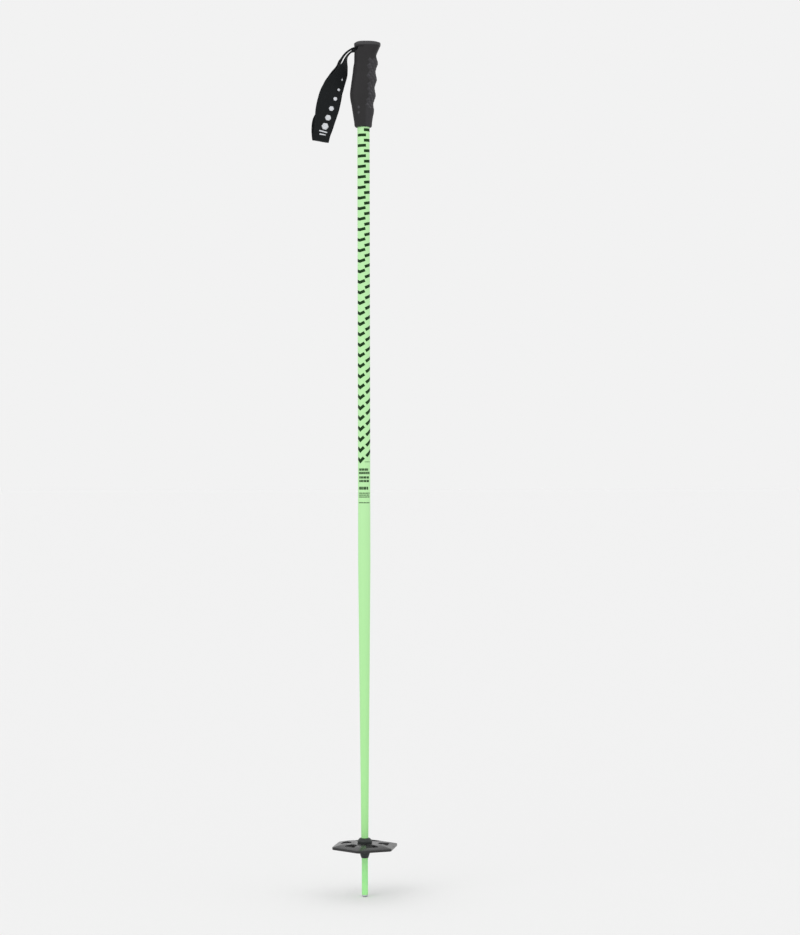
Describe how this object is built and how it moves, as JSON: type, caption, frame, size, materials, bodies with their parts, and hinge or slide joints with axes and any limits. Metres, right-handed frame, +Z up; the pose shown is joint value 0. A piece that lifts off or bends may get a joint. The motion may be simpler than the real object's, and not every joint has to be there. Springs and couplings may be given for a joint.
{
  "type": "ski pole",
  "caption": "Alpine ski pole with a ridged rubber grip, a woven wrist strap, a tapered tube, a six-sided snow basket and a dished hard tip.",
  "frame": {"origin": "centre of the tip's contact face, on the pole's axis", "axes": "+Z up along the pole's axis, towards the grip; +X towards the front of the grip, with the finger ridges; the strap hangs behind, at -X"},
  "size_m": [0.1225, 0.0978, 1.25],
  "materials": {
    "shaft_paint": "aluminium tube with a satin pale green paint and a dark printed pattern",
    "core_plastic": "moulded, matt",
    "grip_rubber": "soft matt rubber with a fine knurl at the front",
    "cap_plastic": "moulded, fine texture",
    "steel": "turned, bright",
    "carbide": "sintered, dark grey",
    "webbing": "woven black webbing with a pale print",
    "ferrule_plastic": "moulded, satin green",
    "hub_plastic": "moulded, black",
    "basket_plastic": "smoky translucent, moulded"
  },
  "bodies": {
    "pole": {"shaft_tube": "shaft_paint", "grip_core": "core_plastic", "grip_shell": "grip_rubber", "grip_top_cap": "cap_plastic", "strap_pin": "steel", "strap_tails": "webbing", "ferrule": "ferrule_plastic", "tip_holder": "steel", "tip_carbide": "carbide"},
    "strap": {"strap_loop": "webbing"},
    "strap_lock": {"strap_wedge": "cap_plastic"},
    "basket": {"basket_hub": "hub_plastic", "basket_plate": "basket_plastic"}
  },
  "joints": [
    {"name": "strap_swing", "type": "hinge", "parent": "pole", "child": "strap", "pos_m": [-0.0172, 0, 1.2388], "axis": [0, 1, 0], "range_deg": [-7, 90]},
    {"name": "strap_lock_slide", "type": "slide", "parent": "pole", "child": "strap_lock", "axis": [0, 0, 1], "range_m": [0, 0.008]},
    {"name": "basket_turn", "type": "hinge", "parent": "pole", "child": "basket", "pos_m": [0, 0, 0.0735], "axis": [0, 0, 1], "continuous": true}
  ]
}
